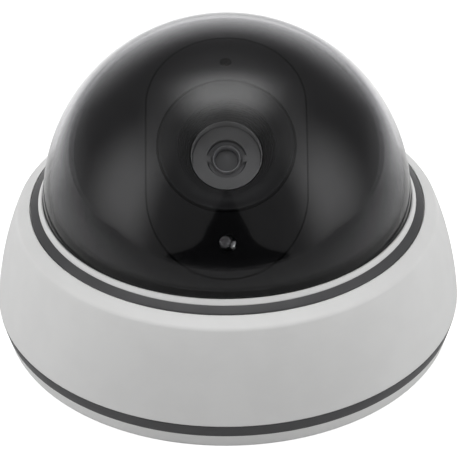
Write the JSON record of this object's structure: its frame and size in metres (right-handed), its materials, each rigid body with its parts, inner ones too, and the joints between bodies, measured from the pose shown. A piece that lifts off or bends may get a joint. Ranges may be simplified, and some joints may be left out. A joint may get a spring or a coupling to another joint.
{
  "type": "dome cctv camera",
  "caption": "Surface-mounted dome security camera: conical white housing, smoked dome and a black camera ball that pans and tilts inside.",
  "frame": {"origin": "centre of the base's underside, on the plane it is mounted to", "axes": "+Z out of the mounting surface through the dome, -Y the side the lens faces"},
  "size_m": [0.145, 0.145, 0.1002],
  "materials": {
    "white_housing": "fine moulded texture, satin",
    "white_base": "fine moulded texture, satin",
    "grey_trim": "satin",
    "smoked_dome": "polished, smoked, see-through",
    "black_liner": "satin black",
    "black_panel": "semi-gloss black",
    "black_bezel": "satin black",
    "dark_plastic": "glass-filled nylon",
    "grey_lens_face": "satin grey",
    "grey_anodised": "satin grey anodised",
    "bright_ring": "bright turned",
    "bracket_steel": "black powder coat",
    "steel_fasteners": "zinc plated",
    "brass_spacers": "nickel free brass",
    "nylon_washers": "natural nylon",
    "circuit_board": "green solder mask",
    "chip_package": "moulded epoxy",
    "ivory_connector": "nylon",
    "terminal_green": "moulded nylon",
    "capacitor_can": "sleeved can",
    "heat_sink_metal": "extruded",
    "rubber": "moulded",
    "lens_glass": "coated lens glass",
    "filter_glass": "infra-red blocking coat",
    "sensor_die": "silicon under a window",
    "led_clear": "water clear epoxy",
    "photocell": "clear coat over cadmium sulphide"
  },
  "bodies": {
    "base": {"base_plate": "white_base", "base_trim_ring": "grey_trim", "cable_grommet": "rubber", "pan_friction_washer": "nylon_washers", "pan_retaining_clip": "steel_fasteners", "power_board": "circuit_board", "terminal_block": "terminal_green", "terminal_screws": "steel_fasteners", "board_header": "ivory_connector", "power_inductor": "chip_package", "power_capacitors": "capacitor_can", "regulator_chip": "chip_package", "power_board_screws": "steel_fasteners"},
    "pan_bracket_body": {"pan_bracket": "bracket_steel", "tilt_pins": "steel_fasteners", "tilt_friction_washers": "nylon_washers"},
    "camera_ball": {"inner_liner": "black_liner", "front_panel": "black_panel", "panel_screws": "steel_fasteners", "module_retainer": "dark_plastic", "retainer_screws": "steel_fasteners", "status_led": "led_clear", "led_board": "circuit_board", "light_sensor": "photocell", "light_sensor_board": "circuit_board"},
    "camera_module": {"lens_bezel": "black_bezel", "module_frame": "dark_plastic", "bezel_screws": "steel_fasteners", "lens_holder": "dark_plastic", "holder_screws": "steel_fasteners", "ir_cut_filter": "filter_glass", "image_sensor": "sensor_die", "sensor_board": "circuit_board", "board_connector": "ivory_connector", "board_spacers": "brass_spacers", "main_board": "circuit_board", "processor_chip": "chip_package", "heat_sink": "heat_sink_metal", "memory_chips": "chip_package", "loom_socket": "ivory_connector", "board_screws": "steel_fasteners"},
    "focus_ring_body": {"focus_ring": "grey_lens_face"},
    "lens_group": {"lens_barrel": "grey_anodised", "focus_pin": "steel_fasteners", "front_lens": "lens_glass", "lens_retaining_ring": "bright_ring", "lens_spacer": "dark_plastic", "rear_lens": "lens_glass"},
    "cover": {"housing": "white_housing", "upper_trim_ring": "grey_trim", "dome_cover": "smoked_dome", "dome_gasket": "rubber", "dome_retaining_ring": "dark_plastic", "dome_ring_screws": "steel_fasteners"}
  },
  "joints": [
    {"name": "pan", "type": "hinge", "parent": "base", "child": "pan_bracket_body", "pos_m": [0, 0, 0.0085], "axis": [0, 0, 1], "range_deg": [-174, 174]},
    {"name": "tilt", "type": "hinge", "parent": "pan_bracket_body", "child": "camera_ball", "pos_m": [0, 0, 0.0433], "axis": [-1, 0, 0], "range_deg": [-20, 20]},
    {"name": "rotation", "type": "hinge", "parent": "camera_ball", "child": "camera_module", "pos_m": [0, 0, 0.0433], "axis": [0, -0.6428, 0.766], "range_deg": [-90, 90]},
    {"name": "focus", "type": "hinge", "parent": "camera_module", "child": "focus_ring_body", "pos_m": [0, 0, 0.0433], "axis": [0, -0.6428, 0.766], "range_deg": [-90, 90]},
    {"name": "focus_travel", "type": "slide", "parent": "camera_module", "child": "lens_group", "axis": [0, -0.6428, 0.766], "range_m": [-0.000392, 0.000392]},
    {"name": "cover_twist", "type": "hinge", "parent": "base", "child": "cover", "pos_m": [0, 0, 0.0093], "axis": [0, 0, 1], "range_deg": [0, 18]}
  ],
  "couplings": [
    {"joint": "focus", "follows": "focus_travel", "rad_per_m": 4000}
  ]
}
